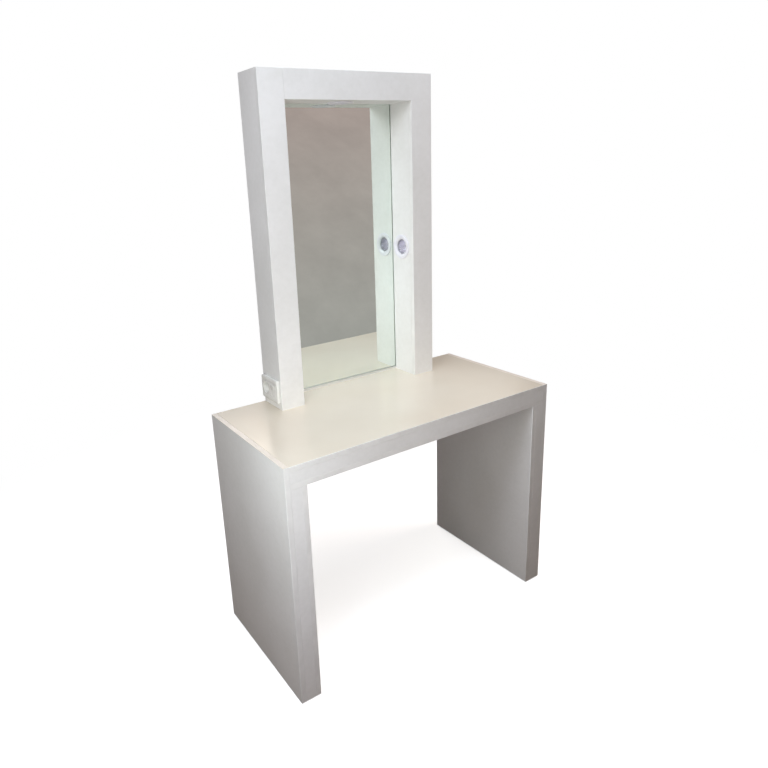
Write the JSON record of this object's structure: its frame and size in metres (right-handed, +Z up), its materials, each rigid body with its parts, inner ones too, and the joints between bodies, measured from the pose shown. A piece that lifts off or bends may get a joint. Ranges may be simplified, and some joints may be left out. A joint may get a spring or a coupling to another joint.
{
  "type": "makeup station",
  "caption": "Makeup desk of thick hollow slabs folding down into two legs, with a deep mirror frame on its back edge, recessed spotlights and a side outlet with a rocker switch.",
  "frame": {"origin": "on the floor, under the middle of the desk", "axes": "+Z up; the desk's front faces -Y and the mirror frame stands at +Y; +X is to the right of a viewer in front"},
  "size_m": [1, 0.48, 1.75],
  "materials": {
    "white_board": "white melamine-faced chipboard, satin",
    "beige_board": "cream laminate over chipboard, satin with a soft sheen",
    "raw_board": "unfaced chipboard inside the hollow slabs",
    "beech": "turned beech, unfinished",
    "back_board": "white-faced hardboard",
    "edging": "white ABS edging with round arrises",
    "nylon": "moulded natural nylon",
    "mirror": "silvered float glass",
    "channel": "anodised, natural",
    "fixings": "bright zinc plated steel",
    "spring_steel": "spring steel",
    "flange_enamel": "white enamelled pressed steel",
    "lamp_glass": "faceted glass with a blue-violet dichroic coating",
    "lens_glass": "clear pressed glass",
    "ceramic": "glazed steatite",
    "casing": "moulded light grey plastic",
    "white_lead": "silicone insulated twin lead",
    "dark_lead": "PVC sheathed mains lead",
    "dark_plastic": "moulded dark grey plastic",
    "outlet_plastic": "white moulded plastic, glossy",
    "contact_brass": "stamped brass"
  },
  "bodies": {
    "station": {"desk_top": "beige_board", "desk_underside": "white_board", "desk_edging": "edging", "desk_front_rail": "white_board", "desk_back_rail": "white_board", "desk_core_battens": "raw_board", "left_leg_outer_panel": "white_board", "left_leg_inner_panel": "white_board", "left_leg_front_strip": "white_board", "left_leg_back_strip": "white_board", "right_leg_outer_panel": "white_board", "right_leg_inner_panel": "white_board", "right_leg_front_strip": "white_board", "right_leg_back_strip": "white_board", "leg_core_rails": "raw_board", "leg_edging": "edging", "leg_dowels": "beech", "glides": "nylon", "left_stile": "white_board", "right_stile": "white_board", "header_board": "white_board", "frame_edging": "edging", "left_side_panel": "white_board", "right_side_panel": "white_board", "frame_cap": "white_board", "left_reveal": "white_board", "right_reveal": "white_board", "header_soffit": "white_board", "foot_rails": "raw_board", "back_battens": "raw_board", "back_panel": "back_board", "pan_head_screws": "fixings", "mirror_glass": "mirror", "mirror_foot_channel": "channel", "frame_bolts": "fixings", "access_caps": "edging", "left_spot_flange": "flange_enamel", "right_spot_flange": "flange_enamel", "header_spot_flange": "flange_enamel", "left_spot_lamp": "lamp_glass", "right_spot_lamp": "lamp_glass", "header_spot_lamp": "lamp_glass", "spot_lenses": "lens_glass", "spot_springs": "spring_steel", "spot_holders": "ceramic", "lamp_transformer": "casing", "terminal_block": "nylon", "lamp_leads": "white_lead", "feed_leads": "dark_lead", "cable_bushing": "dark_plastic", "outlet_box": "dark_plastic", "outlet_mounting_frame": "nylon", "outlet_plate": "outlet_plastic", "socket_body": "outlet_plastic", "socket_contacts": "contact_brass", "switch_body": "outlet_plastic", "switch_terminals": "contact_brass"},
    "rocker": {"switch_rocker": "outlet_plastic", "switch_plunger": "spring_steel"},
    "contact_bridge": {"switch_bridge": "contact_brass"}
  },
  "joints": [
    {"name": "rocker_press", "type": "hinge", "parent": "station", "child": "rocker", "pos_m": [-0.309, 0.16075, 0.808], "axis": [0, 1, 0], "range_deg": [0, 8]},
    {"name": "bridge_rock", "type": "hinge", "parent": "station", "child": "contact_bridge", "pos_m": [-0.2999, 0.16075, 0.808], "axis": [0, 1, 0], "range_deg": [-10, 0]}
  ],
  "couplings": [
    {"joint": "bridge_rock", "follows": "rocker_press", "ratio": -1.25}
  ]
}
